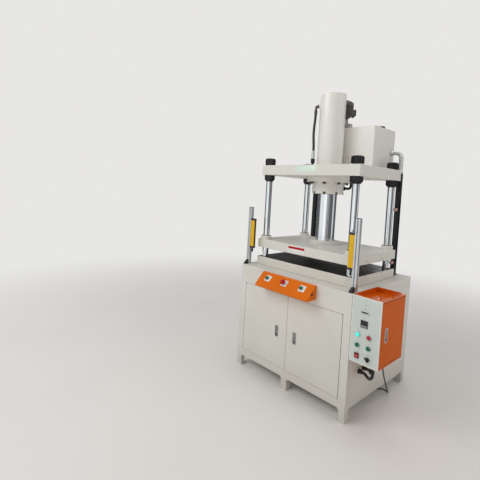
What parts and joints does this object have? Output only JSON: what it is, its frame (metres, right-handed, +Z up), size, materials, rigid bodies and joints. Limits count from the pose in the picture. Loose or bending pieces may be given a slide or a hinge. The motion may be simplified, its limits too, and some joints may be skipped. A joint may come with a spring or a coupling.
{
  "type": "hydraulic press",
  "caption": "Four-column hydraulic press on a sheet-metal cabinet: table, guided slide, top cylinder, oil tank with pump motor, two-hand buttons, control box, light curtains.",
  "frame": {"origin": "on the floor at the centre of the four anchor holes, which is the middle of the cabinet's plan", "axes": "+Z up along the press axis, +X to the operator's right, -Y towards the operator at the cabinet doors"},
  "size_m": [1.218, 1.1435, 2.272],
  "materials": {
    "cream_paint": "satin",
    "orange_paint": "satin",
    "panel_paint": "satin",
    "machined_steel": "satin",
    "hard_chrome": "polished",
    "blackened_steel": "satin",
    "zinc_steel": "satin",
    "bronze": "satin",
    "cast_aluminium": "satin",
    "profile_aluminium": "satin",
    "motor_paint": "satin",
    "black_plastic": "matte",
    "yellow_housing": "satin",
    "green_cap": "satin",
    "red_cap": "satin",
    "crimson_cap": "satin",
    "lit_cap": "satin",
    "lit_rocker": "satin",
    "grey_plastic": "matte",
    "sensor_plastic": "matte",
    "cord_rubber": "matte",
    "conduit_plastic": "matte",
    "cable_plastic": "matte"
  },
  "bodies": {
    "press_frame": {"cabinet_shell": "cream_paint", "side_covers": "cream_paint", "hinge_pins": "zinc_steel", "two_hand_box": "orange_paint", "button_bodies": "black_plastic", "control_box": "orange_paint", "control_panel_plate": "panel_paint", "control_gear": "grey_plastic", "panel_meters": "black_plastic", "cable_glands": "black_plastic", "conduit_front": "conduit_plastic", "conduit_rear": "conduit_plastic", "power_cord": "cord_rubber", "cord_coil": "cord_rubber", "power_plug": "black_plastic", "table_plate": "machined_steel", "columns": "hard_chrome", "column_nuts": "blackened_steel", "crown_support_nuts": "blackened_steel", "crown_plate": "cream_paint", "cylinder_barrel": "cream_paint", "cylinder_gland": "cream_paint", "cylinder_screws": "blackened_steel", "sensor_rails": "blackened_steel", "limit_sensors": "sensor_plastic", "oil_tank": "cream_paint", "tank_lid": "cream_paint", "motor_housing": "motor_paint", "pump": "cast_aluminium", "valve_block": "cast_aluminium", "pressure_hose": "cord_rubber", "hose_fittings": "zinc_steel", "tank_conduit": "zinc_steel", "curtain_posts": "profile_aluminium", "post_brackets": "blackened_steel", "light_curtains": "yellow_housing", "curtain_cable": "cable_plastic"},
    "slide": {"slide_plate": "cream_paint", "guide_bushes": "cream_paint", "ram": "hard_chrome", "piston": "bronze", "ram_flange": "cream_paint"},
    "left_door_body": {"left_door": "cream_paint"},
    "right_door_body": {"right_door": "cream_paint"},
    "left_latch_handle_body": {"left_latch_handle": "zinc_steel"},
    "right_latch_handle_body": {"right_latch_handle": "zinc_steel"},
    "start_button_left_body": {"start_button_left": "green_cap"},
    "start_button_right_body": {"start_button_right": "green_cap"},
    "estop_stem_body": {"estop_stem": "black_plastic"},
    "estop_head_body": {"estop_head": "red_cap"},
    "control_box_door_body": {"control_box_door": "orange_paint"},
    "control_latch_handle_body": {"control_latch_handle": "zinc_steel"},
    "lit_button_body": {"lit_button": "lit_cap"},
    "stop_button_body": {"stop_button": "crimson_cap"},
    "green_button_upper_body": {"green_button_upper": "green_cap"},
    "green_button_lower_body": {"green_button_lower": "green_cap"},
    "power_rocker_body": {"power_rocker": "lit_rocker"},
    "selector_knob_body": {"selector_knob": "black_plastic"},
    "motor_rotor_body": {"motor_rotor": "zinc_steel"},
    "filler_cap_body": {"filler_cap": "black_plastic"}
  },
  "joints": [
    {"name": "slide_travel", "type": "slide", "parent": "press_frame", "child": "slide", "axis": [0, 0, 1], "range_m": [-0.07, 0.3]},
    {"name": "left_door_hinge", "type": "hinge", "parent": "press_frame", "child": "left_door_body", "pos_m": [-0.445, -0.432, 0.424], "axis": [0, 0, 1], "range_deg": [-100, 0]},
    {"name": "right_door_hinge", "type": "hinge", "parent": "press_frame", "child": "right_door_body", "pos_m": [0.445, -0.432, 0.424], "axis": [0, 0, 1], "range_deg": [0, 100]},
    {"name": "left_latch_pivot", "type": "hinge", "parent": "left_door_body", "child": "left_latch_handle_body", "pos_m": [-0.095, -0.435, 0.446], "axis": [1, 0, 0], "range_deg": [-35, 0], "stiffness_Nm_per_rad": 0.2, "springref_deg": 28.65},
    {"name": "right_latch_pivot", "type": "hinge", "parent": "right_door_body", "child": "right_latch_handle_body", "pos_m": [0.075, -0.435, 0.446], "axis": [1, 0, 0], "range_deg": [-35, 0], "stiffness_Nm_per_rad": 0.2, "springref_deg": 28.65},
    {"name": "start_left_press", "type": "slide", "parent": "press_frame", "child": "start_button_left_body", "axis": [0, 0.7071, -0.7071], "range_m": [0, 0.004], "stiffness_N_per_m": 500, "springref_m": -0.004},
    {"name": "start_right_press", "type": "slide", "parent": "press_frame", "child": "start_button_right_body", "axis": [0, 0.7071, -0.7071], "range_m": [0, 0.004], "stiffness_N_per_m": 500, "springref_m": -0.004},
    {"name": "estop_press", "type": "slide", "parent": "press_frame", "child": "estop_stem_body", "axis": [0, 0.7071, -0.7071], "range_m": [0, 0.005]},
    {"name": "estop_release_turn", "type": "hinge", "parent": "estop_stem_body", "child": "estop_head_body", "pos_m": [-0.012, -0.49114, 0.80286], "axis": [0, -0.7071, 0.7071], "range_deg": [0, 45], "stiffness_Nm_per_rad": 0.05, "springref_deg": -11.46},
    {"name": "control_box_door_hinge", "type": "hinge", "parent": "press_frame", "child": "control_box_door_body", "pos_m": [0.698, -0.138, 0.64], "axis": [0, 0, 1], "range_deg": [0, 100]},
    {"name": "control_latch_pivot", "type": "hinge", "parent": "control_box_door_body", "child": "control_latch_handle_body", "pos_m": [0.701, -0.362, 0.667], "axis": [0, 1, 0], "range_deg": [-35, 0], "stiffness_Nm_per_rad": 0.2, "springref_deg": 28.65},
    {"name": "lit_button_press", "type": "slide", "parent": "press_frame", "child": "lit_button_body", "axis": [0, 1, 0], "range_m": [0, 0.004], "stiffness_N_per_m": 500, "springref_m": -0.004},
    {"name": "stop_button_press", "type": "slide", "parent": "press_frame", "child": "stop_button_body", "axis": [0, 1, 0], "range_m": [0, 0.004], "stiffness_N_per_m": 500, "springref_m": -0.004},
    {"name": "green_upper_press", "type": "slide", "parent": "press_frame", "child": "green_button_upper_body", "axis": [0, 1, 0], "range_m": [0, 0.004], "stiffness_N_per_m": 500, "springref_m": -0.004},
    {"name": "green_lower_press", "type": "slide", "parent": "press_frame", "child": "green_button_lower_body", "axis": [0, 1, 0], "range_m": [0, 0.004], "stiffness_N_per_m": 500, "springref_m": -0.004},
    {"name": "power_rocker_tilt", "type": "hinge", "parent": "press_frame", "child": "power_rocker_body", "pos_m": [0.565, -0.44, 0.478], "axis": [1, 0, 0], "range_deg": [-14, 0]},
    {"name": "selector_turn", "type": "hinge", "parent": "press_frame", "child": "selector_knob_body", "pos_m": [0.638, -0.44, 0.478], "axis": [0, -1, 0], "range_deg": [-90, 0]},
    {"name": "motor_spin", "type": "hinge", "parent": "press_frame", "child": "motor_rotor_body", "pos_m": [-0.05, 0.205, 2.1], "axis": [0, 0, 1], "continuous": true},
    {"name": "filler_cap_turn", "type": "hinge", "parent": "press_frame", "child": "filler_cap_body", "pos_m": [0.262, 0.27, 2.016], "axis": [0, 0, 1], "range_deg": [0, 60]}
  ]
}
